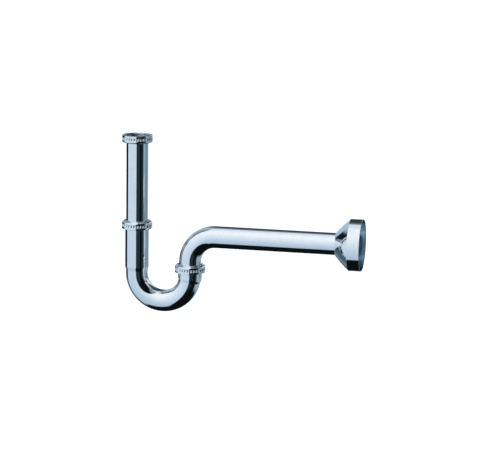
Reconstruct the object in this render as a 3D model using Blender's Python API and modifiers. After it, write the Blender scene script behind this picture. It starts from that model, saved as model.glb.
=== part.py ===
"""Tubular P trap for a wash basin, chrome-plated brass, 1 1/4 inch by 32 mm.

Frame: metres, +Z up. The origin is the centre of the inlet gasket's upper face, where the basin
waste seats. The inlet axis runs down -Z, the outlet pipe runs along +X to the wall.

Pieces, from the basin to the wall: union nut, gasket, friction ring and flanged inlet tube; slip nut,
thrust ring, cone seal and threaded ferrule on the trap's long arm; the U-bend; the same four on its
short arm; the outlet bend with its wall pipe; the wall escutcheon and its rubber grip ring.
"""

import math

import bmesh
import bpy
from mathutils import Matrix, Vector

MM = 0.001

# Tube and sockets
TUBE_R = 16.0 * MM
WALL = 1.0 * MM
SOCKET_R = 17.3 * MM
SLIDE_R = 16.2 * MM  # bore of every ring that the 32 mm tube slides through

# Layout of the centre lines
SEAT_TO_TRAP = 197.4 * MM  # inlet seat down to the centre of the U-bend's arc
CENTRES = 80.0 * MM  # inlet axis to the trap's outlet axis
OUTLET_RISE = 58.9 * MM  # arc centre up to the wall pipe's axis
OUTLET_BEND_R = 37.6 * MM
PIPE_END_X = 319.0 * MM
RIM_X = 331.4 * MM  # the plane of the wall

TRAP_Z = -SEAT_TO_TRAP
PIPE_Z = TRAP_Z + OUTLET_RISE
TRAP_R = CENTRES / 2

# Slip joints: each is placed by the plane of its nut's mouth, and heights ending in _H start there
UPPER_JOINT_Z = TRAP_Z + 66.0 * MM
OUTLET_JOINT_Z = TRAP_Z + 5.3 * MM
SOCKET_END_H = 5.3 * MM
INLET_END_Z = TRAP_Z + 38.0 * MM
SPIGOT_END_Z = TRAP_Z - 1.0 * MM

# U-bend: how far before the ends of its arc each socket starts and stops widening
LONG_TAPER = (-10.0 * MM, -3.0 * MM)
SHORT_TAPER = (-9.0 * MM, -4.0 * MM)
TAPER_STEPS = 3

# Nut: G 1 1/4 thread in a ring with a band of grip pockets and a round shoulder
NUT_HEIGHT = 11.1 * MM
NUT_R = 22.4 * MM
NUT_HOLE_R = 16.4 * MM
NUT_SIDES = 36
MOUTH_CHAMFER = 0.6 * MM
POCKET_BAND = (2.6 * MM, 7.3 * MM)
POCKET_BAND_R = NUT_R - 0.2 * MM
POCKET_EDGE = 0.8 * MM
POCKET_DEPTH = 0.45 * MM
SHOULDER_FOOT_H = 8.2 * MM  # the shoulder rounds in from here to the crest
SHOULDER_ROUND = 2.8 * MM
SHOULDER_TURN = math.radians(80)
SHOULDER_STEPS = 4
CREST_R = 19.6 * MM
DISH_R = 17.6 * MM  # foot of the slope inside the crest
DISH_DEPTH = 1.0 * MM
SHOULDER_H = 9.4 * MM  # inner face of the shoulder

# Thread
PITCH = 2.309 * MM
THREAD_ROOT_R = 19.5 * MM
THREAD_DEPTH = 1.35 * MM
THREAD_CLEARANCE = 0.3 * MM
THREAD_FADE = 0.9 * MM  # length over which a thread runs out at its ends
THREAD_RELIEF = 0.6 * MM  # plain bore between the nut's thread and its wider chamber
NUT_THREAD_H = (0.7 * MM, 7.3 * MM)
FERRULE_THREAD_H = (0.8 * MM, 6.6 * MM)

# Rings inside the joints
GAP = 0.2 * MM  # left between pieces that bear on each other
RING_R = 19.1 * MM
FERRULE_R = THREAD_ROOT_R - GAP
FERRULE_BORE_R = 17.5 * MM
FERRULE_H = (0.4 * MM, 7.0 * MM)
SEAT_H = SOCKET_END_H + 0.3 * MM  # foot of the ferrule's cone
SEAL_TIP_H = SOCKET_END_H + 0.45 * MM
SEAL_RIM_H = 7.35 * MM
SEAL_TOP_H = 8.2 * MM
SEAL_TIP_WALL = 1.0 * MM

# Inlet stack, downwards from the seat
NUT_RISE = 5.5 * MM  # the union nut's mouth above the seat
GASKET = 1.5 * MM
FLANGE = 1.0 * MM
FLANGE_R = 19.2 * MM
TUBE_BORE_R = TUBE_R - WALL
GASKET_BORE_R = TUBE_BORE_R + 0.4 * MM
BORE_LEAD = (0.5 * MM, 1.0 * MM)  # width and depth of the bore's flare at the flange
END_CHAMFER = (0.4 * MM, 0.6 * MM)  # width and length of the tube's lower end

# Escutcheon: a domed cone and a straight band
ESCUTCHEON_R = 37.5 * MM
ESCUTCHEON_DEPTH = 37.9 * MM
BAND_WIDTH = 17.6 * MM
ESCUTCHEON_WALL = 0.8 * MM
ESCUTCHEON_SIDES = 40
NECK_R = 17.2 * MM
DOME_BULGE = 0.7 * MM
DOME_STEPS = 6
EDGE_ROUND = 0.4 * MM

# Grip ring inside the escutcheon's neck
GRIP_SETBACK = 1.9 * MM  # from the neck's end
GRIP_LENGTH = 4.6 * MM
GRIP_SLOPE = 2.3 * MM
GRIP_WALL = (1.6 * MM, 4.0 * MM)

TUBE_SIDES = 28
ARC_STEPS = 14
QUARTER_STEPS = 10


# ---------------------------------------------------------------- scene and materials


def clear_scene():
    for obj in list(bpy.data.objects):
        bpy.data.objects.remove(obj, do_unlink=True)


def new_collection(name):
    made = bpy.data.collections.new(name)
    bpy.context.scene.collection.children.link(made)
    return made


def new_material(name, colour, metallic, roughness):
    material = bpy.data.materials.new(name)
    material.use_nodes = True
    shader = material.node_tree.nodes["Principled BSDF"]
    shader.inputs["Base Color"].default_value = (*colour, 1.0)
    shader.inputs["Metallic"].default_value = metallic
    shader.inputs["Roughness"].default_value = roughness
    return material


def new_axis(name, location):
    """An empty on a joint's axis, which the pieces on that axis hang from."""
    empty = bpy.data.objects.new(name, None)
    empty.location = location
    empty.empty_display_size = 0.02
    part.objects.link(empty)
    return empty


def new_object(name, mesh, material, axis, height=0.0, turn=None):
    """A piece of the trap, placed at a height along its axis and turned about it where needed."""
    mesh.materials.clear()
    mesh.materials.append(material)
    mesh.shade_smooth()
    mesh.set_sharp_from_angle(angle=math.radians(35))
    obj = bpy.data.objects.new(name, mesh)
    obj.parent = axis
    obj.location = (0.0, 0.0, height)
    if turn:
        obj.rotation_euler = turn
    part.objects.link(obj)
    return obj


# ---------------------------------------------------------------- ways to make a shape


def smooth_step(low, high, value):
    t = min(max((value - low) / (high - low), 0.0), 1.0)
    return t * t * (3.0 - 2.0 * t)


def profile_mesh(name, points, closed=True):
    """The outline (radius, height) of a turned piece, running down its outer side."""
    mesh = bpy.data.meshes.new(name)
    count = len(points)
    edges = [(i, i + 1) for i in range(count - 1)]
    if closed:
        edges.append((count - 1, 0))
    mesh.from_pydata([(r, 0.0, h) for r, h in points], edges, [])
    return mesh


def add_screw(obj, sides):
    screw = obj.modifiers.new("Turn", "SCREW")
    screw.steps = sides
    screw.render_steps = sides
    screw.use_merge_vertices = True
    screw.merge_threshold = 0.00001
    return screw


def turned(name, points, material, axis, height=0.0, sides=TUBE_SIDES, turn=None, closed=True):
    """A ring or tube: its section turned round the local Z axis."""
    obj = new_object(name, profile_mesh(name, points, closed), material, axis, height, turn)
    add_screw(obj, sides)
    return obj


def ring(name, inner, outer, low, high, material, axis, height=0.0):
    """A plain washer between two heights."""
    section = [(outer, high), (outer, low), (inner, low), (inner, high)]
    return turned(name, section, material, axis, height)


def swept_tube(name, stations, material, axis, height=0.0):
    """A round tube of one wall thickness along stations of (point, outer radius)."""
    curve = bpy.data.curves.new(name + "_line", "CURVE")
    curve.dimensions = "3D"
    curve.bevel_depth = 1.0 * MM
    curve.bevel_resolution = TUBE_SIDES // 2 - 2
    spline = curve.splines.new("POLY")
    spline.points.add(len(stations) - 1)
    for point, (place, radius) in zip(spline.points, stations):
        point.co = (*place, 1.0)
        point.radius = radius / MM
    line = bpy.data.objects.new(name + "_line", curve)
    part.objects.link(line)
    graph = bpy.context.evaluated_depsgraph_get()
    mesh = bpy.data.meshes.new_from_object(line.evaluated_get(graph))
    bpy.data.objects.remove(line)
    mesh.name = name
    obj = new_object(name, mesh, material, axis, height)
    solidify = obj.modifiers.new("Wall", "SOLIDIFY")
    solidify.thickness = WALL
    solidify.offset = -1.0
    return obj


def thread_rows(angle, zone):
    """(height, ridge, fade) of each row of a right-hand thread at an angle, two rows to a pitch.

    Rows climb one pitch in a turn. A row past either end of the zone stays at that end, where the
    thread has faded out, so the first and the last column of a turned mesh meet. Ridges are counted
    from height 0, so two threads made in the same joint mesh with each other.
    """
    low, high = zone
    first = 2 * (math.floor(low / PITCH) - 1)
    last = 2 * (math.ceil(high / PITCH) + 1)
    for row in range(first, last):
        free = row * PITCH / 2 + PITCH * angle / (2 * math.pi)
        height = min(max(free, low), high)
        ridge = float(row % 2)
        fade = min(1.0, (height - low) / THREAD_FADE, (high - height) / THREAD_FADE)
        yield height, ridge, fade


def lofted_ring(name, section_at, sides):
    """A closed ring through one section for each angle; sections have equally many (radius, height)."""
    shape = bmesh.new()
    columns = []
    for side in range(sides + 1):
        angle = 2 * math.pi * side / sides
        turn = Matrix.Rotation(angle, 3, "Z")
        columns.append([shape.verts.new(turn @ Vector((r, 0.0, h))) for r, h in section_at(angle)])
    rows = len(columns[0])
    for here, there in zip(columns, columns[1:]):
        for row in range(rows):
            above = (row + 1) % rows
            shape.faces.new((here[row], here[above], there[above], there[row]))
    bmesh.ops.remove_doubles(shape, verts=shape.verts, dist=0.000002)
    bmesh.ops.dissolve_degenerate(shape, edges=shape.edges, dist=0.000002)
    bmesh.ops.recalc_face_normals(shape, faces=shape.faces)
    mesh = bpy.data.meshes.new(name)
    return shape, mesh


# ---------------------------------------------------------------- nuts, ferrules and rings


def nut_section(angle):
    """The nut's section, mouth at height 0: up the outside, over the crest, down the thread."""
    outer = [
        (NUT_R - MOUTH_CHAMFER, 0.0),
        (POCKET_BAND_R, MOUTH_CHAMFER),
        (POCKET_BAND_R, POCKET_BAND[0]),
        (POCKET_BAND_R, POCKET_BAND[1]),
    ]
    for step in range(SHOULDER_STEPS + 1):
        turn = SHOULDER_TURN * step / SHOULDER_STEPS
        radius = NUT_R - SHOULDER_ROUND * (1.0 - math.cos(turn))
        outer.append((radius, SHOULDER_FOOT_H + SHOULDER_ROUND * math.sin(turn)))
    dish_h = NUT_HEIGHT - DISH_DEPTH
    outer += [(CREST_R, NUT_HEIGHT), (DISH_R, dish_h)]
    hole = [(NUT_HOLE_R, dish_h), (NUT_HOLE_R, SHOULDER_H)]
    chamber = [(THREAD_ROOT_R, SHOULDER_H), (THREAD_ROOT_R, NUT_THREAD_H[1] + THREAD_RELIEF)]
    major = THREAD_ROOT_R + THREAD_CLEARANCE + THREAD_DEPTH
    rows = list(thread_rows(angle, NUT_THREAD_H))
    thread = [(major - (1.0 - ridge) * fade * THREAD_DEPTH, h) for h, ridge, fade in reversed(rows)]
    return outer + hole + chamber + thread


def is_band(point):
    """True at the middle of the pocket band's outer faces."""
    middle = sum(POCKET_BAND) / 2
    return abs(point.z - middle) < POCKET_EDGE / 2 and point.xy.length > NUT_R - MOUTH_CHAMFER


def nut_mesh(name):
    shape, mesh = lofted_ring(name, nut_section, NUT_SIDES)
    band = [face for face in shape.faces if is_band(face.calc_center_median())]
    bmesh.ops.inset_individual(shape, faces=band, thickness=POCKET_EDGE, depth=-POCKET_DEPTH)
    shape.to_mesh(mesh)
    shape.free()
    return mesh


def ferrule_section(angle):
    """The brazed ferrule: male thread outside, cone seat for the seal at the top of its bore."""
    low, high = FERRULE_H
    rows = [
        (THREAD_ROOT_R + ridge * fade * THREAD_DEPTH, h)
        for h, ridge, fade in thread_rows(angle, FERRULE_THREAD_H)
    ]
    seat = [
        (FERRULE_R, high),
        (RING_R, high),
        (FERRULE_BORE_R, SEAT_H),
        (FERRULE_BORE_R, low),
        (FERRULE_R, low),
    ]
    return rows + seat


def ferrule_mesh(name):
    shape, mesh = lofted_ring(name, ferrule_section, NUT_SIDES)
    shape.to_mesh(mesh)
    shape.free()
    return mesh


def seal_section():
    """The cone seal: flat on top, tapering down into the ferrule's seat."""
    return [
        (RING_R, SEAL_TOP_H),
        (RING_R, SEAL_RIM_H),
        (SLIDE_R + SEAL_TIP_WALL, SEAL_TIP_H),
        (SLIDE_R, SEAL_TIP_H),
        (SLIDE_R, SEAL_TOP_H),
    ]


def slip_joint(prefix, axis, height):
    """Nut, thrust ring, seal and ferrule of one slip joint, from the outside in."""
    nut = nut_mesh(prefix + "_slip_nut")
    new_object(prefix + "_slip_nut", nut, chrome, axis, height)
    ring(
        prefix + "_thrust_ring",
        SLIDE_R,
        RING_R,
        SEAL_TOP_H + GAP,
        SHOULDER_H - GAP,
        white_plastic,
        axis,
        height,
    )
    turned(prefix + "_seal", seal_section(), rubber, axis, height)
    new_object(prefix + "_ferrule", ferrule_mesh(prefix + "_ferrule"), brass, axis, height)


# ---------------------------------------------------------------- inlet


def make_inlet():
    new_object(
        "inlet_union_nut", nut_mesh("inlet_union_nut"), chrome, inlet_axis, NUT_RISE, (math.pi, 0.0, 0.0)
    )
    ring("inlet_gasket", GASKET_BORE_R, FLANGE_R, -GASKET, 0.0, rubber, inlet_axis)
    flange_top = -GASKET - GAP
    flange_low = flange_top - FLANGE
    shoulder = NUT_RISE - SHOULDER_H
    ring(
        "inlet_friction_ring",
        SLIDE_R,
        RING_R,
        shoulder + GAP,
        flange_low - GAP,
        white_plastic,
        inlet_axis,
    )
    section = [
        (FLANGE_R, flange_top),
        (FLANGE_R, flange_low),
        (TUBE_R, flange_low),
        (TUBE_R, INLET_END_Z + END_CHAMFER[1]),
        (TUBE_R - END_CHAMFER[0], INLET_END_Z),
        (TUBE_BORE_R, INLET_END_Z),
        (TUBE_BORE_R, flange_top - BORE_LEAD[1]),
        (TUBE_BORE_R + BORE_LEAD[0], flange_top),
    ]
    turned("inlet_tube", section, chrome, inlet_axis)


# ---------------------------------------------------------------- U-bend


def trap_point(s):
    """The U-bend's centre line at a length s from the arc's start; negative is up the long arm."""
    arc = math.pi * TRAP_R
    if s < 0:
        return Vector((0.0, 0.0, -s))
    if s > arc:
        return Vector((CENTRES, 0.0, s - arc))
    angle = math.pi + s / TRAP_R
    return Vector((TRAP_R + TRAP_R * math.cos(angle), 0.0, TRAP_R * math.sin(angle)))


def make_trap():
    arc = math.pi * TRAP_R
    long_end = -(UPPER_JOINT_Z - TRAP_Z + SOCKET_END_H)
    short_end = arc + OUTLET_JOINT_Z - TRAP_Z + SOCKET_END_H
    short_taper = (arc + SHORT_TAPER[0], arc + SHORT_TAPER[1])
    bends = [arc * step / ARC_STEPS for step in range(ARC_STEPS - 1)]
    tapers = []
    for low, high in (LONG_TAPER, short_taper):
        tapers += [low + (high - low) * step / TAPER_STEPS for step in range(TAPER_STEPS + 1)]
    stations = []
    for s in sorted([long_end, *tapers, *bends, arc, short_end]):
        open_long = 1.0 - smooth_step(*LONG_TAPER, s)
        open_short = smooth_step(*short_taper, s)
        radius = TUBE_R + (SOCKET_R - TUBE_R) * max(open_long, open_short)
        stations.append((trap_point(s), radius))
    swept_tube("u_bend", stations, chrome, inlet_axis, TRAP_Z)


# ---------------------------------------------------------------- outlet


def make_outlet():
    """The outlet bend: a spigot up from the short arm, a quarter turn, and the wall pipe."""
    low = SPIGOT_END_Z - TRAP_Z
    start = OUTLET_RISE - OUTLET_BEND_R
    places = [Vector((0.0, 0.0, low))]
    for step in range(QUARTER_STEPS + 1):
        angle = math.pi - step * math.pi / 2 / QUARTER_STEPS
        x = OUTLET_BEND_R * (1.0 + math.cos(angle))
        places.append(Vector((x, 0.0, start + OUTLET_BEND_R * math.sin(angle))))
    places.append(Vector((PIPE_END_X - CENTRES, 0.0, OUTLET_RISE)))
    swept_tube("outlet_bend", [(place, TUBE_R) for place in places], chrome, outlet_axis, TRAP_Z)


def escutcheon_outline():
    """Neck to rim, as (radius, distance from the rim): a slightly domed cone, then the band."""
    neck = Vector((NECK_R, ESCUTCHEON_DEPTH))
    edge = Vector((ESCUTCHEON_R - EDGE_ROUND, BAND_WIDTH + EDGE_ROUND))
    outward = Vector((neck.y - edge.y, edge.x - neck.x)).normalized()
    points = []
    for step in range(DOME_STEPS + 1):
        t = step / DOME_STEPS
        points.append(neck.lerp(edge, t) + outward * DOME_BULGE * math.sin(math.pi * t))
    points.append((ESCUTCHEON_R, BAND_WIDTH - EDGE_ROUND))
    points.append((ESCUTCHEON_R, 0.0))
    return points


def make_escutcheon():
    """Turned about local Z with the rim at height 0, then laid along +X with the rim outwards."""
    lay = (0.0, -math.pi / 2, 0.0)
    shell = turned(
        "escutcheon",
        escutcheon_outline(),
        chrome,
        wall_axis,
        sides=ESCUTCHEON_SIDES,
        turn=lay,
        closed=False,
    )
    solidify = shell.modifiers.new("Wall", "SOLIDIFY")
    solidify.thickness = ESCUTCHEON_WALL
    solidify.offset = -1.0
    back = ESCUTCHEON_DEPTH - GRIP_SETBACK
    section = [
        (SLIDE_R + GRIP_WALL[0], back),
        (SLIDE_R + GRIP_WALL[1], back - GRIP_SLOPE),
        (SLIDE_R + GRIP_WALL[1], back - GRIP_LENGTH),
        (SLIDE_R, back - GRIP_LENGTH),
        (SLIDE_R, back),
    ]
    turned("escutcheon_grip_ring", section, rubber, wall_axis, turn=lay)


clear_scene()
part = new_collection("p_trap")
chrome = new_material("chrome", (0.80, 0.83, 0.86), 1.0, 0.06)
brass = new_material("brass", (0.78, 0.60, 0.30), 1.0, 0.28)
rubber = new_material("rubber", (0.02, 0.02, 0.022), 0.0, 0.65)
white_plastic = new_material("white_plastic", (0.86, 0.86, 0.83), 0.0, 0.40)

inlet_axis = new_axis("inlet_axis", (0.0, 0.0, 0.0))
outlet_axis = new_axis("outlet_axis", (CENTRES, 0.0, 0.0))
wall_axis = new_axis("wall_axis", (RIM_X, 0.0, PIPE_Z))

make_inlet()
slip_joint("upper", inlet_axis, UPPER_JOINT_Z)
make_trap()
slip_joint("outlet", outlet_axis, OUTLET_JOINT_Z)
make_outlet()
make_escutcheon()
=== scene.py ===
"""Looks of the tubular P trap: fine meshes, materials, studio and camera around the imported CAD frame.

Units are metres. A turned or swept piece is one outline carried round an axis: the outline is a closed
list of (s, r), with s the distance along the axis and r the distance from it. A straight axis gives a
turned part, and a bent one gives a tube.
"""

import math

import bmesh
import bpy
from mathutils import Matrix, Quaternion, Vector


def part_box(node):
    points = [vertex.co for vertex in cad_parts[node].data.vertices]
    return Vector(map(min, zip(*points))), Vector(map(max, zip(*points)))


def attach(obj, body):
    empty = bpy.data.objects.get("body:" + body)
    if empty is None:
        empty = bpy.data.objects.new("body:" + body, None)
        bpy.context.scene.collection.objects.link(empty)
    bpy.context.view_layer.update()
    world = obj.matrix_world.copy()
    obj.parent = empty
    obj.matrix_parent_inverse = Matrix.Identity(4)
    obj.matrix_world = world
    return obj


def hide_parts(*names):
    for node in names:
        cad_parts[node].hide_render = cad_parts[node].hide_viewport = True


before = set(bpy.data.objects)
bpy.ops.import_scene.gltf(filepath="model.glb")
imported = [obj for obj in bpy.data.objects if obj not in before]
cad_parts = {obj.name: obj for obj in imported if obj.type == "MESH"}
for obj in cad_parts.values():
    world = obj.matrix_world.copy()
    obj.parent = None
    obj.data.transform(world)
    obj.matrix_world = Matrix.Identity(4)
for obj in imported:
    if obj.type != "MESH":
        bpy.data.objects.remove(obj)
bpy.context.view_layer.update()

MM = 0.001

# Read from the frame
TUBE_R = (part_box("outlet_bend")[1].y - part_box("outlet_bend")[0].y) / 2
SOCKET_R = (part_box("u_bend")[1].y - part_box("u_bend")[0].y) / 2
NUT_R = (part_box("upper_slip_nut")[1].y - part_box("upper_slip_nut")[0].y) / 2
NUT_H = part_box("upper_slip_nut")[1].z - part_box("upper_slip_nut")[0].z
ESCUTCHEON_R = (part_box("escutcheon")[1].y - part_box("escutcheon")[0].y) / 2
CENTRES = (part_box("outlet_ferrule")[0].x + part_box("outlet_ferrule")[1].x) / 2
TRAP_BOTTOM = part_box("u_bend")[0].z
TRAP_R = CENTRES / 2
TRAP_Z = TRAP_BOTTOM + TUBE_R + TRAP_R
PIPE_Z = (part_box("escutcheon")[0].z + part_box("escutcheon")[1].z) / 2
PIPE_END_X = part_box("outlet_bend")[1].x
RIM_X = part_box("escutcheon")[1].x

# Tubes
WALL = 1.0 * MM
OUTLET_BEND_R = 37.6 * MM
SOCKET_END_H = 5.3 * MM  # the short arm's end above its nut's mouth
LONG_TAPER = (-10.0 * MM, -3.0 * MM)  # where the sockets widen, from the ends of the arc
SHORT_TAPER = (-9.0 * MM, -4.0 * MM)
FLANGE = 1.0 * MM
SIDES = 144
SHARP_ANGLE = 38.0  # degrees

# Nuts, with s = 0 at the mouth
NUT_HOLE_R = 16.4 * MM
NUT_COLUMNS = 576
FLUTES = 36
FLUTE_BAND = (2.8 * MM, 7.2 * MM)
FLUTE_WIDTH = 2.8 * MM
FLUTE_DEPTH = 0.75 * MM
FLUTE_END = 0.9 * MM  # length over which a flute's end rises to the surface
BAND_SINK = 0.2 * MM
MOUTH_ROUND = 0.35 * MM
SHOULDER_FOOT = 8.2 * MM  # the shoulder rounds in from here to the crest
SHOULDER_ROUND = 2.8 * MM
SHOULDER_TURN = 80.0  # degrees
SHOULDER_STEPS = 14
CREST_R = 19.6 * MM
DISH_R = 17.6 * MM  # foot of the slope inside the crest
DISH_DEPTH = 1.0 * MM
SHOULDER_UNDER = 9.4 * MM

# Thread
PITCH = 2.309 * MM
THREAD_ROOT_R = 19.5 * MM
THREAD_DEPTH = 1.35 * MM
THREAD_CLEARANCE = 0.3 * MM
THREAD_FADE = 0.8 * MM
NUT_THREAD = (0.5 * MM, 7.3 * MM)
FERRULE_THREAD = (0.8 * MM, 6.6 * MM)
THREAD_STEP = 0.25 * MM

# Escutcheon, with s = 0 at the rim
BAND_WIDTH = 17.6 * MM
ESCUTCHEON_WALL = 0.8 * MM
NECK_R = 17.2 * MM
DOME_BULGE = 0.7 * MM
DOME_STEPS = 40

# Rings
SLIDE_R = 16.2 * MM
RING_BORES = {
    "inlet_gasket": TUBE_R - WALL + 0.4 * MM,
    "inlet_friction_ring": SLIDE_R,
    "upper_thrust_ring": SLIDE_R,
    "outlet_thrust_ring": SLIDE_R,
}


# ---------------------------------------------------------------- outlines


def smooth_step(low, high, value):
    t = min(max((value - low) / (high - low), 0.0), 1.0)
    return t * t * (3.0 - 2.0 * t)


def rounded(corners, steps=5):
    """A closed outline from corners (s, r, radius): each corner becomes an arc of that radius."""
    outline = []
    count = len(corners)
    for index, (s, r, radius) in enumerate(corners):
        here = Vector((s, r))
        before = Vector(corners[index - 1][:2]) - here
        after = Vector(corners[(index + 1) % count][:2]) - here
        if radius <= 0:
            outline.append(here)
            continue
        half = before.angle(after) / 2
        reach = min(radius / math.tan(half), 0.49 * before.length, 0.49 * after.length)
        radius = reach * math.tan(half)
        bisector = (before.normalized() + after.normalized()).normalized()
        centre = here + bisector * radius / math.sin(half)
        start = here + before.normalized() * reach - centre
        end = here + after.normalized() * reach - centre
        sweep = start.angle_signed(end)
        for step in range(steps + 1):
            turned = start.copy()
            turned.rotate(Matrix.Rotation(-sweep * step / steps, 2))
            outline.append(centre + turned)
    return [(point.x, point.y) for point in outline]


def divided(outline, longest, low=-math.inf, high=math.inf):
    """The same outline with its segments between s = low and s = high cut to at most this length."""
    fine = []
    for (s0, r0), (s1, r1) in zip(outline, outline[1:] + outline[:1]):
        fine.append((s0, r0))
        if min(s0, s1) >= low and max(s0, s1) <= high:
            pieces = math.ceil(math.hypot(s1 - s0, r1 - r0) / longest)
            for piece in range(1, pieces):
                t = piece / pieces
                fine.append((s0 + (s1 - s0) * t, r0 + (r1 - r0) * t))
    return fine


def held(outline, long=2.5 * MM, reach=0.2 * MM):
    """Adds a point near both ends of each long segment, so smooth shading keeps it straight."""
    firm = []
    for (s0, r0), (s1, r1) in zip(outline, outline[1:] + outline[:1]):
        firm.append((s0, r0))
        length = math.hypot(s1 - s0, r1 - r0)
        if length > long:
            for t in (reach / length, 1.0 - reach / length):
                firm.append((s0 + (s1 - s0) * t, r0 + (r1 - r0) * t))
    return firm


# ---------------------------------------------------------------- axes


def straight(origin, direction):
    """A straight axis: gives the point and the two cross directions at a distance s along it."""
    along = Vector(direction).normalized()
    first = Vector((0.0, 1.0, 0.0))
    second = along.cross(first)

    def place(s):
        return Vector(origin) + along * s, first, second

    return place


def bent(start, heading, towards, first_length, radius, sweep):
    """An axis that runs straight, turns towards a side by the angle sweep, then runs straight."""
    heading, towards = Vector(heading), Vector(towards)
    across = heading.cross(towards)
    centre = Vector(start) + heading * first_length + towards * radius

    def place(s):
        turn = min(max((s - first_length) / radius, 0.0), sweep)
        beyond = s - first_length - turn * radius
        tangent = heading * math.cos(turn) + towards * math.sin(turn)
        outward = heading * math.sin(turn) - towards * math.cos(turn)
        return centre + outward * radius + tangent * beyond, across, outward

    return place


UP = (0.0, 0.0, 1.0)


# ---------------------------------------------------------------- meshes


def swept(name, outline, place, slots, sides=SIDES, shape=None, inside=None):
    """Carries an outline round an axis.

    shape(s, r, angle) may change r, and inside(s, r) picks the second slot.
    """
    outline = held(outline)
    mesh_shape = bmesh.new()
    frames = [place(s) for s, _ in outline]
    columns = []
    for side in range(sides):
        angle = 2 * math.pi * side / sides
        column = []
        for (s, r), (centre, first, second) in zip(outline, frames):
            if shape:
                r = shape(s, r, angle)
            point = centre + (first * math.cos(angle) + second * math.sin(angle)) * r
            column.append(mesh_shape.verts.new(point))
        columns.append(column)
    count = len(outline)
    for side in range(sides):
        here, there = columns[side], columns[(side + 1) % sides]
        for index in range(count):
            above = (index + 1) % count
            face = mesh_shape.faces.new((here[index], there[index], there[above], here[above]))
            face.smooth = True
            if inside:
                middle = [(a + b) / 2 for a, b in zip(outline[index], outline[above])]
                face.material_index = int(inside(*middle))
    bmesh.ops.recalc_face_normals(mesh_shape, faces=mesh_shape.faces)
    mesh = bpy.data.meshes.new(name)
    mesh_shape.to_mesh(mesh)
    mesh_shape.free()
    mesh.set_sharp_from_angle(angle=math.radians(SHARP_ANGLE))
    for material in slots:
        mesh.materials.append(material)
    piece = bpy.data.objects.new(name, mesh)
    bpy.context.scene.collection.objects.link(piece)
    return piece


def stand_for(piece, node, body):
    """The piece takes the CAD node's place: it rides on its body, and the CAD node is hidden."""
    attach(piece, body)
    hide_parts(node)


# ---------------------------------------------------------------- materials


class Finish:
    """A Principled material whose detail comes from noise in the object's own space."""

    def __init__(self, name, metallic):
        self.material = bpy.data.materials.new(name)
        self.material.use_nodes = True
        self.tree = self.material.node_tree
        self.shader = self.tree.nodes["Principled BSDF"]
        self.shader.inputs["Metallic"].default_value = metallic
        self.place = self.tree.nodes.new("ShaderNodeTexCoord").outputs["Object"]

    def node(self, kind, **sockets):
        made = self.tree.nodes.new(kind)
        for name, value in sockets.items():
            socket = made.inputs[name.replace("_", " ")]
            if isinstance(value, bpy.types.NodeSocket):
                self.tree.links.new(value, socket)
            else:
                socket.default_value = value
        return made

    def noise(self, size, detail=2.0, grain=(1.0, 1.0, 1.0)):
        """Blobs of about this size, drawn out along an axis where grain is small."""
        scale = tuple(g / size for g in grain)
        stretched = self.node("ShaderNodeMapping", Vector=self.place, Scale=scale)
        texture = self.node("ShaderNodeTexNoise", Vector=stretched.outputs[0], Scale=1.0, Detail=detail)
        return texture.outputs["Fac"]

    def between(self, value, low, high, start=0.3, stop=0.7):
        """Maps a noise's useful range to low ... high."""
        sockets = {"Value": value, "From_Min": start, "From_Max": stop, "To_Min": low, "To_Max": high}
        return self.node("ShaderNodeMapRange", **sockets).outputs["Result"]

    def colour(self, value, dark, light, start=0.3, stop=0.7):
        """Paints from dark to light as the noise rises."""
        ramp = self.node("ShaderNodeValToRGB", Fac=value)
        for element, position, tint in zip(ramp.color_ramp.elements, (start, stop), (dark, light)):
            element.position = position
            element.color = (*tint, 1.0)
        self.tree.links.new(ramp.outputs[0], self.shader.inputs["Base Color"])

    def roughness(self, value, low, high):
        self.tree.links.new(self.between(value, low, high), self.shader.inputs["Roughness"])

    def bumps(self, *layers):
        """Relief from (noise, height) layers, heights in metres."""
        normal = None
        for value, height in layers:
            sockets = {"Height": value, "Distance": height, "Strength": 1.0}
            if normal:
                sockets["Normal"] = normal
            normal = self.node("ShaderNodeBump", **sockets).outputs[0]
        self.tree.links.new(normal, self.shader.inputs["Normal"])


def make_chrome(name, grain):
    """Bright chrome: faint smears, polishing lines round the piece and the plate's slight waviness."""
    finish = Finish(name, 1.0)
    smears = finish.noise(11 * MM, 4.0)
    finish.colour(smears, (0.845, 0.880, 0.910), (0.900, 0.925, 0.945))
    finish.roughness(finish.noise(1.3 * MM, 5.0, grain), 0.030, 0.075)
    waves = finish.noise(9 * MM, 1.0)
    lines = finish.noise(0.16 * MM, 2.0, grain)
    finish.bumps((waves, 0.018 * MM), (lines, 0.0002 * MM))
    return finish.material


def make_lining(name, dark, light, rough, pits=0.004 * MM):
    """Plate on a surface that nobody polished: duller, streaked and a little pitted. How dark it is comes
    from the caller, and the bores' dark colours are painted shade.
    """
    finish = Finish(name, 1.0)
    finish.colour(finish.noise(6 * MM, 5.0), dark, light)
    finish.roughness(finish.noise(2 * MM, 3.0), *rough)
    finish.bumps((finish.noise(0.5 * MM, 3.0), pits))
    return finish.material


def make_brass():
    """Turned brass with fine tool marks round the axis and a light tarnish."""
    finish = Finish("turned_brass", 1.0)
    finish.colour(finish.noise(4 * MM, 5.0), (0.58, 0.40, 0.17), (0.83, 0.65, 0.35))
    finish.roughness(finish.noise(1.5 * MM, 4.0), 0.20, 0.42)
    finish.bumps((finish.noise(0.15 * MM, 1.0, (0.01, 0.01, 1.0)), 0.004 * MM))
    return finish.material


def make_rubber():
    """Black moulded rubber: matte, faintly grained, with a bloom of grey."""
    finish = Finish("black_rubber", 0.0)
    finish.colour(finish.noise(3 * MM, 6.0), (0.012, 0.012, 0.013), (0.038, 0.038, 0.040))
    finish.roughness(finish.noise(0.8 * MM, 4.0), 0.48, 0.78)
    finish.bumps((finish.noise(0.25 * MM, 3.0), 0.010 * MM))
    finish.shader.inputs["Specular IOR Level"].default_value = 0.4
    return finish.material


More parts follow.
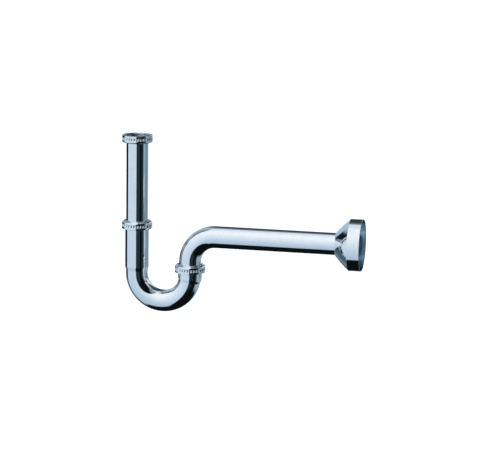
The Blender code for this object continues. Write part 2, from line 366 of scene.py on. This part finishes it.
def make_plastic():
    """Natural polyethylene: milky, slightly waxy, with soft moulding ripples."""
    finish = Finish("white_polyethylene", 0.0)
    finish.colour(finish.noise(5 * MM, 4.0), (0.78, 0.78, 0.74), (0.88, 0.88, 0.85))
    finish.roughness(finish.noise(1.2 * MM, 3.0), 0.34, 0.50)
    finish.bumps((finish.noise(2.0 * MM, 2.0), 0.020 * MM), (finish.noise(0.2 * MM, 2.0), 0.003 * MM))
    finish.shader.inputs["Subsurface Weight"].default_value = 0.25
    finish.shader.inputs["Subsurface Radius"].default_value = (1.2 * MM, 1.1 * MM, 0.9 * MM)
    finish.shader.inputs["Subsurface Scale"].default_value = 1.0
    return finish.material


chrome_upright = make_chrome("polished_chrome_upright", (0.02, 0.02, 1.0))
chrome_bend = make_chrome("polished_chrome_bend", (0.3, 1.0, 0.3))
chrome_level = make_chrome("polished_chrome_level", (1.0, 0.02, 0.02))
thread_plate = make_lining(
    "plated_thread", (0.66, 0.76, 0.83), (0.80, 0.89, 0.95), (0.16, 0.30), 0.0015 * MM
)
# Painted shade: the bores' lining is coloured a dark bluish grey, far darker than plate, for the shade
# inside the tubes; its rough, pitted finish is the lining's own.
bore_plate_painted_shade = make_lining("plated_bore_painted_shade", (0.22, 0.26, 0.29), (0.40, 0.45, 0.49), (0.32, 0.50))
shell_plate = make_lining(
    "plated_lining", (0.74, 0.84, 0.89), (0.82, 0.91, 0.95), (0.12, 0.20), 0.0006 * MM
)
brass = make_brass()
rubber = make_rubber()
plastic = make_plastic()


# ---------------------------------------------------------------- nuts and ferrules


def ridge_at(s, angle):
    """0 in the groove to 1 on the crest of a right-hand thread."""
    phase = (s / PITCH - angle / (2 * math.pi)) % 1.0
    return smooth_step(0.08, 0.92, abs(2.0 * phase - 1.0))


def fade_at(s, zone):
    """1 inside a thread's zone, falling to 0 at both ends."""
    low, high = zone
    return smooth_step(low, low + THREAD_FADE, s) * smooth_step(high, high - THREAD_FADE, s)


def nut_outline():
    """Mouth at s = 0, then up the outside, over the crest and dish, and down the thread."""
    major = THREAD_ROOT_R + THREAD_CLEARANCE + THREAD_DEPTH
    band_r = NUT_R - BAND_SINK
    corners = [
        (0.0, band_r, MOUTH_ROUND),
        (FLUTE_BAND[1], band_r, 0.3 * MM),
        (SHOULDER_FOOT, NUT_R, 0.3 * MM),
    ]
    for step in range(1, SHOULDER_STEPS + 1):
        turn = math.radians(SHOULDER_TURN) * step / SHOULDER_STEPS
        r = NUT_R - SHOULDER_ROUND * (1.0 - math.cos(turn))
        corners.append((SHOULDER_FOOT + SHOULDER_ROUND * math.sin(turn), r, 0.0))
    corners += [
        (NUT_H, CREST_R, 0.25 * MM),
        (NUT_H - DISH_DEPTH, DISH_R, 0.3 * MM),
        (NUT_H - DISH_DEPTH, NUT_HOLE_R, 0.2 * MM),
        (SHOULDER_UNDER, NUT_HOLE_R, 0.2 * MM),
        (SHOULDER_UNDER, THREAD_ROOT_R, 0.3 * MM),
        (NUT_THREAD[1] + 0.6 * MM, THREAD_ROOT_R, 0.2 * MM),
        (NUT_THREAD[1], major, 0.1 * MM),
        (0.0, major, 0.3 * MM),
    ]
    return divided(rounded(corners, 6), THREAD_STEP, 0.0, FLUTE_BAND[1] + 0.1 * MM)


def nut_shape(s, r, angle):
    """Sinks the flutes into the outside and winds the thread round the inside."""
    if r > NUT_R - BAND_SINK - 0.05 * MM:
        low, high = FLUTE_BAND
        ends = smooth_step(low, low + FLUTE_END, s) * smooth_step(high, high - FLUTE_END, s)
        pitch = 2 * math.pi / FLUTES
        across = NUT_R * (angle % pitch - pitch / 2)
        scoop_r = (FLUTE_WIDTH**2 / 4 + FLUTE_DEPTH**2) / (2 * FLUTE_DEPTH)
        dip = math.sqrt(max(scoop_r**2 - across**2, 0.0)) - (scoop_r - FLUTE_DEPTH)
        return r - ends * max(dip, 0.0)
    crest = THREAD_ROOT_R + THREAD_CLEARANCE
    if crest + 0.5 * THREAD_DEPTH < r < crest + 1.01 * THREAD_DEPTH and s < NUT_THREAD[1]:
        return r - THREAD_DEPTH * (1.0 - ridge_at(s, angle)) * fade_at(s, NUT_THREAD)
    return r


def make_nut(node, body, origin, up):
    place = straight(origin, (0.0, 0.0, up))
    bore_r = THREAD_ROOT_R + THREAD_CLEARANCE + THREAD_DEPTH + 0.05 * MM

    def inside(s, r):
        bore = r < bore_r and 0.05 * MM < s < SHOULDER_UNDER + 0.1 * MM
        return bore or (r < CREST_R - 0.3 * MM and s > SHOULDER_UNDER)

    slots = [chrome_upright, thread_plate]
    piece = swept(node + "_plated", nut_outline(), place, slots, NUT_COLUMNS, nut_shape, inside)
    stand_for(piece, node, body)


def ferrule_outline(height):
    """The brazed ferrule: thread outside, cone seat for the seal at the top of its bore."""
    low, high = 0.4 * MM, 7.0 * MM
    face_r = THREAD_ROOT_R - 0.2 * MM
    bore_r = SOCKET_R + 0.2 * MM
    corners = [
        (low, face_r, 0.15 * MM),
        (low + 0.2 * MM, THREAD_ROOT_R, 0.1 * MM),
        (high - 0.2 * MM, THREAD_ROOT_R, 0.1 * MM),
        (high, face_r, 0.1 * MM),
        (high, bore_r + 1.6 * MM, 0.05 * MM),
        (height, bore_r, 0.1 * MM),
        (low, bore_r, 0.2 * MM),
    ]
    return divided(rounded(corners, 4), THREAD_STEP, low, high)


def ferrule_shape(s, r, angle):
    if abs(r - THREAD_ROOT_R) < 0.02 * MM:
        return r + THREAD_DEPTH * ridge_at(s, angle) * fade_at(s, FERRULE_THREAD)
    return r


def make_ferrule(node, body, origin):
    seat = SOCKET_END_H + 0.3 * MM
    place = straight(origin, UP)
    piece = swept(node + "_turned", ferrule_outline(seat), place, [brass], 360, ferrule_shape)
    stand_for(piece, node, body)


# ---------------------------------------------------------------- rings


def make_ring(node, body, material, edge=0.2 * MM, groove=0.0):
    """A flat washer with rounded edges, and a shallow groove round its top face where it has one."""
    low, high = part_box(node)
    outer = (high.y - low.y) / 2
    inner = RING_BORES[node]
    height = high.z - low.z
    middle = (inner + outer) / 2
    corners = [(0.0, inner, edge), (0.0, outer, edge), (height, outer, edge), (height, inner, edge)]
    if groove:
        half = groove * 1.5
        face = [(height, middle + half), (height - groove, middle), (height, middle - half)]
        corners[3:3] = [(s, r, 0.15 * MM) for s, r in face]
    place = straight(((low.x + high.x) / 2, 0.0, low.z), UP)
    piece = swept(node + "_moulded", rounded(corners, 5), place, [material])
    stand_for(piece, node, body)


def make_seal(node, body):
    """The cone seal: a flat top with a shallow groove, and a taper down to its tip."""
    low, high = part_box(node)
    outer = (high.y - low.y) / 2
    height = high.z - low.z
    rim = 1.6 * MM  # the cone's upper edge above its tip
    tip_r = SLIDE_R + 1.0 * MM
    corners = [
        (0.0, tip_r, 0.25 * MM),
        (rim * 0.5, (tip_r + outer) / 2 - 0.05 * MM, 0.3 * MM),
        (rim, outer, 0.3 * MM),
        (height, outer, 0.3 * MM),
        (height, outer - 0.9 * MM, 0.1 * MM),
        (height - 0.3 * MM, outer - 1.3 * MM, 0.15 * MM),
        (height, SLIDE_R + 0.7 * MM, 0.15 * MM),
        (height, SLIDE_R, 0.25 * MM),
        (height * 0.5, SLIDE_R + 0.25 * MM, 0.5 * MM),
        (0.0, SLIDE_R, 0.2 * MM),
    ]
    place = straight(((low.x + high.x) / 2, 0.0, low.z), UP)
    piece = swept(node + "_moulded", rounded(corners, 5), place, [rubber])
    stand_for(piece, node, body)


def make_grip_ring():
    """Sits in the escutcheon's neck: three soft lips bear on the pipe."""
    low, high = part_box("escutcheon_grip_ring")
    outer = (high.y - low.y) / 2
    length = high.x - low.x
    corners = [
        (0.0, SLIDE_R + 1.6 * MM, 0.2 * MM),
        (length / 2, outer, 0.3 * MM),
        (length, outer, 0.3 * MM),
        (length, SLIDE_R, 0.2 * MM),
    ]
    for lip in (0.75, 0.5, 0.25):
        corners.append((length * (lip + 0.08), SLIDE_R + 0.5 * MM, 0.1 * MM))
        corners.append((length * lip, SLIDE_R, 0.1 * MM))
    corners.append((length * 0.12, SLIDE_R + 0.5 * MM, 0.1 * MM))
    corners.append((0.0, SLIDE_R + 0.1 * MM, 0.1 * MM))
    place = straight((low.x, 0.0, PIPE_Z), (1.0, 0.0, 0.0))
    piece = swept("escutcheon_grip_ring_moulded", rounded(corners, 4), place, [rubber])
    stand_for(piece, "escutcheon_grip_ring", "escutcheon_grip_ring")


# ---------------------------------------------------------------- tubes


def make_inlet_tube():
    low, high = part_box("inlet_tube")
    inner = TUBE_R - WALL
    corners = [
        (high.z, inner + 0.5 * MM, 0.4 * MM),
        (high.z, high.y, 0.5 * MM),
        (high.z - FLANGE, high.y, 0.4 * MM),
        (high.z - FLANGE, TUBE_R, 0.3 * MM),
        (low.z, TUBE_R, 0.4 * MM),
        (low.z, inner, 0.2 * MM),
        (high.z - FLANGE, inner, 0.8 * MM),
    ]

    def inside(s, r):
        return r < TUBE_R - 0.5 * WALL and s < high.z - 0.4 * MM

    place = straight((0.0, 0.0, 0.0), UP)
    # The bore takes the lining with painted shade.
    slots = [chrome_upright, bore_plate_painted_shade]
    piece = swept("inlet_tube_plated", rounded(corners), place, slots, inside=inside)
    stand_for(piece, "inlet_tube", "inlet_tube")


def make_tube(node, stations, outer, place, finish):
    """A bent tube: its skin at outer(s), its lining one wall inside, and slightly broken end edges."""
    start, end = stations[0], stations[-1]
    edge = 0.25 * MM

    def skin_r(s):
        return outer(s) - edge * (1.0 - smooth_step(0.0, edge, min(s - start, end - s)))

    opening = [start, start + 0.4 * edge, start + edge]
    closing = [end - edge, end - 0.4 * edge, end]
    stations = opening + stations[1:-1] + closing
    skin = [(s, skin_r(s)) for s in stations]
    lining = [(s, outer(s) - WALL) for s in reversed(stations)]

    def inside(s, r):
        return r < outer(s) - 0.7 * WALL

    # The lining takes the bore plate with painted shade.
    piece = swept(node + "_plated", skin + lining, place, [finish, bore_plate_painted_shade], inside=inside)
    stand_for(piece, node, node)


def make_u_bend():
    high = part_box("u_bend")[1]
    long_length = high.z - TRAP_Z
    arc = math.pi * TRAP_R
    short_start = long_length + arc
    short_end = short_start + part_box("outlet_slip_nut")[0].z + SOCKET_END_H - TRAP_Z
    long_taper = [long_length + s for s in LONG_TAPER]
    short_taper = [short_start + s for s in SHORT_TAPER]

    def outer(s):
        open_long = 1.0 - smooth_step(*long_taper, s)
        open_short = smooth_step(*short_taper, s)
        return TUBE_R + (SOCKET_R - TUBE_R) * max(open_long, open_short)

    stations = {0.0, long_taper[0] - 1.0 * MM, short_start, short_end}
    for low, top in (long_taper, short_taper):
        stations |= {low + (top - low) * step / 12 for step in range(13)}
    stations |= {long_length + arc * step / 90 for step in range(90)}
    place = bent((0.0, 0.0, high.z), (0.0, 0.0, -1.0), (1.0, 0.0, 0.0), long_length, TRAP_R, math.pi)
    make_tube("u_bend", sorted(stations), outer, place, chrome_bend)


def make_outlet_bend():
    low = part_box("outlet_bend")[0]
    first = PIPE_Z - OUTLET_BEND_R - low.z
    arc = math.pi / 2 * OUTLET_BEND_R
    level = PIPE_END_X - CENTRES - OUTLET_BEND_R
    stations = [0.0]
    stations += [first + arc * step / 56 for step in range(57)]
    stations += [first + arc + level * step / 8 for step in range(1, 9)]
    place = bent((CENTRES, 0.0, low.z), UP, (1.0, 0.0, 0.0), first, OUTLET_BEND_R, math.pi / 2)
    make_tube("outlet_bend", stations, lambda s: TUBE_R, place, chrome_bend)


# ---------------------------------------------------------------- escutcheon


def make_escutcheon():
    """s is the distance from the rim back towards the neck: a straight band, a crease and a domed cone."""
    low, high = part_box("escutcheon")
    depth = high.x - low.x
    neck = Vector((depth, NECK_R))
    edge = Vector((BAND_WIDTH, ESCUTCHEON_R))
    outward = Vector((edge.y - neck.y, neck.x - edge.x)).normalized()
    dome = []
    for step in range(DOME_STEPS + 1):
        t = step / DOME_STEPS
        dome.append(edge.lerp(neck, t) + outward * DOME_BULGE * math.sin(math.pi * t))
    lining = []
    for before, here, after in zip(dome[:-2], dome[1:-1], dome[2:]):
        tangent = (after - before).normalized()
        lining.append(here + Vector((tangent.y, -tangent.x)) * ESCUTCHEON_WALL)
    neck_inside = NECK_R - ESCUTCHEON_WALL
    corners = [(0.0, ESCUTCHEON_R, 0.3 * MM), (*edge, 0.5 * MM)]
    corners += [(*point, 0.0) for point in dome[1:-1]]
    corners += [(*neck, 0.2 * MM), (depth - 0.5 * MM, neck_inside, 0.2 * MM)]
    corners += [(*point, 0.0) for point in reversed(lining[2:-1])]
    corners += [
        (BAND_WIDTH - 0.3 * MM, ESCUTCHEON_R - ESCUTCHEON_WALL, 0.8 * MM),
        (0.0, ESCUTCHEON_R - ESCUTCHEON_WALL, 0.2 * MM),
    ]

    def inside(s, r):
        t = min(max((s - edge.x) / (neck.x - edge.x), 0.0), 1.0)
        skin_r = edge.y + (neck.y - edge.y) * t
        return r < skin_r - 0.4 * ESCUTCHEON_WALL and 0.1 * MM < s < depth - 0.3 * MM

    place = straight((RIM_X, 0.0, PIPE_Z), (-1.0, 0.0, 0.0))
    slots = [chrome_level, shell_plate]
    piece = swept("escutcheon_plated", rounded(corners, 6), place, slots, 240, inside=inside)
    stand_for(piece, "escutcheon", "escutcheon")


# ---------------------------------------------------------------- the assembly

make_nut("inlet_union_nut", "inlet_union_nut", (0.0, 0.0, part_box("inlet_union_nut")[1].z), -1.0)
make_ring("inlet_gasket", "inlet_tube", rubber, 0.4 * MM, 0.35 * MM)
make_ring("inlet_friction_ring", "inlet_friction_ring", plastic, 0.15 * MM)
make_inlet_tube()
for joint, x in (("upper", 0.0), ("outlet", CENTRES)):
    mouth = (x, 0.0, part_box(joint + "_slip_nut")[0].z)
    make_nut(joint + "_slip_nut", joint + "_slip_nut", mouth, 1.0)
    make_ring(joint + "_thrust_ring", joint + "_thrust_ring", plastic, 0.15 * MM)
    make_seal(joint + "_seal", joint + "_seal")
    make_ferrule(joint + "_ferrule", "u_bend", mouth)
make_u_bend()
make_outlet_bend()
make_escutcheon()
make_grip_ring()


# ---------------------------------------------------------------- stage and camera


FLOOR_DROP = 0.25


def make_floor():
    mesh_shape = bmesh.new()
    bmesh.ops.create_grid(mesh_shape, x_segments=1, y_segments=1, size=30.0)
    mesh = bpy.data.meshes.new("floor")
    mesh_shape.to_mesh(mesh)
    mesh_shape.free()
    floor = bpy.data.objects.new("floor", mesh)
    floor.location = (0.0, 0.0, TRAP_BOTTOM - FLOOR_DROP)
    bpy.context.scene.collection.objects.link(floor)
    finish = Finish("pale_floor", 0.0)
    finish.shader.inputs["Base Color"].default_value = (0.9, 0.9, 0.9, 1.0)
    finish.shader.inputs["Roughness"].default_value = 1.0
    finish.shader.inputs["Emission Color"].default_value = (1.0, 1.0, 1.0, 1.0)
    finish.shader.inputs["Emission Strength"].default_value = 0.75
    floor.data.materials.append(finish.material)
    floor.visible_glossy = False


def make_camera():
    azimuth, elevation, roll = (math.radians(a) for a in (11.62, 11.07, 0.95))
    distance = 2.615
    target = Vector((0.16775, 0.0, TRAP_Z + 0.07945))
    back = Vector(
        (
            math.sin(azimuth) * math.cos(elevation),
            -math.cos(azimuth) * math.cos(elevation),
            math.sin(elevation),
        )
    )
    camera = bpy.data.objects.new("camera", bpy.data.cameras.new("camera"))
    camera.data.lens = 131.0
    camera.data.sensor_width = 36.0
    camera.data.clip_start = 0.1
    camera.data.clip_end = 100.0
    camera.location = target + back * distance
    camera.rotation_mode = "QUATERNION"
    camera.rotation_quaternion = (-back).to_track_quat("-Z", "Y") @ Quaternion((0.0, 0.0, 1.0), roll)
    bpy.context.scene.collection.objects.link(camera)
    bpy.context.scene.camera = camera


class Sky:
    """Builds the studio as a picture of direction: soft-edged panels in azimuth and elevation.

    Azimuth 0 looks along -Y, towards the camera's side, and grows towards +X. Panels are in degrees.
    """

    def __init__(self, world):
        world.use_nodes = True
        self.tree = world.node_tree
        self.background = self.tree.nodes["Background"]
        place = self.tree.nodes.new("ShaderNodeTexCoord")
        axes = self.tree.nodes.new("ShaderNodeSeparateXYZ")
        self.tree.links.new(place.outputs["Generated"], axes.inputs[0])
        self.azimuth = self.math("ARCTAN2", axes.outputs[0], self.math("MULTIPLY", axes.outputs[1], -1.0))
        self.elevation = self.math("ARCSINE", axes.outputs[2])
        self.colour = None

    def math(self, operation, *values):
        node = self.tree.nodes.new("ShaderNodeMath")
        node.operation = operation
        for socket, value in zip(node.inputs, values):
            if isinstance(value, (int, float)):
                socket.default_value = value
            else:
                self.tree.links.new(value, socket)
        return node.outputs[0]

    def rise(self, value, low, high):
        node = self.tree.nodes.new("ShaderNodeMapRange")
        node.interpolation_type = "SMOOTHSTEP"
        node.inputs["From Min"].default_value = low
        node.inputs["From Max"].default_value = high
        self.tree.links.new(value, node.inputs["Value"])
        return node.outputs["Result"]

    def mask(self, azimuths, elevations, soft, slant=0.0):
        """1 inside the panel, 0 outside; slant is how far its sides lean in azimuth for each degree up."""
        middle = math.radians(sum(azimuths) / 2)
        half = math.radians((azimuths[1] - azimuths[0]) / 2)
        edge = math.radians(soft) / 2
        leaning = self.math("SUBTRACT", self.azimuth, self.math("MULTIPLY", self.elevation, slant))
        offset = self.math("WRAP", self.math("SUBTRACT", leaning, middle), math.pi, -math.pi)
        across = self.rise(self.math("ABSOLUTE", offset), half + edge, half - edge)
        low, high = (math.radians(angle) for angle in elevations)
        above = self.rise(self.elevation, low - edge, low + edge)
        below = self.rise(self.elevation, high + edge, high - edge)
        return self.math("MULTIPLY", across, self.math("MULTIPLY", above, below))

    def mix(self, share, colour):
        """Lays a colour, or a socket, over what is there."""
        node = self.tree.nodes.new("ShaderNodeMix")
        node.data_type = "RGBA"
        if self.colour is None:
            node.inputs["A"].default_value = (0.0, 0.0, 0.0, 1.0)
        else:
            self.tree.links.new(self.colour, node.inputs[6])
        if isinstance(share, float):
            node.inputs["Factor"].default_value = share
        else:
            self.tree.links.new(share, node.inputs["Factor"])
        if isinstance(colour, tuple):
            node.inputs[7].default_value = (*colour, 1.0)
        else:
            self.tree.links.new(colour, node.inputs[7])
        self.colour = node.outputs[2]

    def ramp(self, value, low, high, stops):
        """A colour that changes with an angle: stops are (degrees, colour)."""
        spread = self.tree.nodes.new("ShaderNodeMapRange")
        spread.inputs["From Min"].default_value = math.radians(low)
        spread.inputs["From Max"].default_value = math.radians(high)
        self.tree.links.new(value, spread.inputs["Value"])
        node = self.tree.nodes.new("ShaderNodeValToRGB")
        elements = node.color_ramp.elements
        while len(elements) < len(stops):
            elements.new(0.5)
        for element, (angle, colour) in zip(elements, stops):
            element.position = (angle - low) / (high - low)
            element.color = (*colour, 1.0)
        self.tree.links.new(spread.outputs["Result"], node.inputs[0])
        return node.outputs[0]

    def finish(self, seen):
        """The camera sees a plain colour, and everything else sees the panels."""
        path = self.tree.nodes.new("ShaderNodeLightPath")
        self.mix(path.outputs["Is Camera Ray"], seen)
        self.tree.links.new(self.colour, self.background.inputs["Color"])


def make_world():
    world = bpy.data.worlds.new("studio")
    bpy.context.scene.world = world
    sky = Sky(world)
    sky.mix(1.0, (0.004, 0.006, 0.007))
    # Overhead light, and the far side of the room from the ceiling down
    sky.mix(sky.mask((-180, 180), (64, 100), 14), (0.74, 0.82, 0.90))
    sky.mix(sky.mask((-158, -88), (2, 66), 14), (0.29, 0.38, 0.46))
    sky.mix(sky.mask((-160, -134), (-4, 62), 12), (0.48, 0.57, 0.67))
    sky.mix(sky.mask((-148, -118), (12, 27), 10), (0.44, 0.55, 0.66))
    sky.mix(sky.mask((-122, -97), (8, 20), 4), (0.008, 0.012, 0.012))
    sky.mix(sky.mask((-147, -121), (-40, -18), 10), (0.17, 0.23, 0.29))
    sky.mix(sky.mask((-123, -97), (-38, -17), 10), (0.07, 0.12, 0.155))
    sky.mix(sky.mask((78, 112), (-38, 64), 14), (0.30, 0.40, 0.49))
    sky.mix(sky.mask((108, 178), (32, 74), 14), (0.050, 0.078, 0.10))
    sky.mix(sky.mask((112, 190), (6, 30), 12), (0.72, 0.80, 0.87))
    sky.mix(sky.mask((104, 190), (-38, -10), 12), (0.31, 0.42, 0.52))
    sky.mix(sky.mask((104, 150), (-13, 3), 8), (0.20, 0.26, 0.32))
    sky.mix(sky.mask((152, 184), (-14, 8), 8), (0.55, 0.63, 0.71))
    sky.mix(sky.mask((-166, -150), (20, 64), 10), (0.15, 0.19, 0.23))
    sky.mix(sky.mask((-180, -158), (-26, 8), 10), (0.70, 0.77, 0.84))
    sky.mix(sky.mask((-188, -162), (14, 50), 6), (0.030, 0.045, 0.055))
    # The large soft box at the left front, up to overhead
    front = sky.ramp(
        sky.elevation,
        -60,
        90,
        [
            (-60, (0.42, 0.53, 0.66)),
            (-25, (0.54, 0.67, 0.80)),
            (0, (0.68, 0.79, 0.90)),
            (25, (0.84, 0.90, 0.97)),
            (50, (0.99, 1.0, 1.05)),
            (80, (0.90, 0.94, 1.0)),
        ],
    )
    # Overhead fill above the dark card
    sky.mix(sky.mask((0, 78), (50, 78), 12), (0.26, 0.30, 0.34))
    # The dark card at the right front, with a faint horizon across it
    sky.mix(sky.mask((4, 78), (-100, 46), 8), (0.004, 0.005, 0.0055))
    sky.mix(sky.mask((4, 80), (-28, 2), 10), (0.018, 0.031, 0.038))
    sky.mix(sky.mask((43, 60), (-60, 40), 6), (0.0025, 0.0035, 0.003))
    sky.mix(sky.mask((-94, 7), (-57, 100), 6, 0.22), front)
    sky.finish((1.0, 1.0, 1.0))


make_floor()
make_camera()
make_world()
bpy.context.scene.view_settings.view_transform = "Standard"
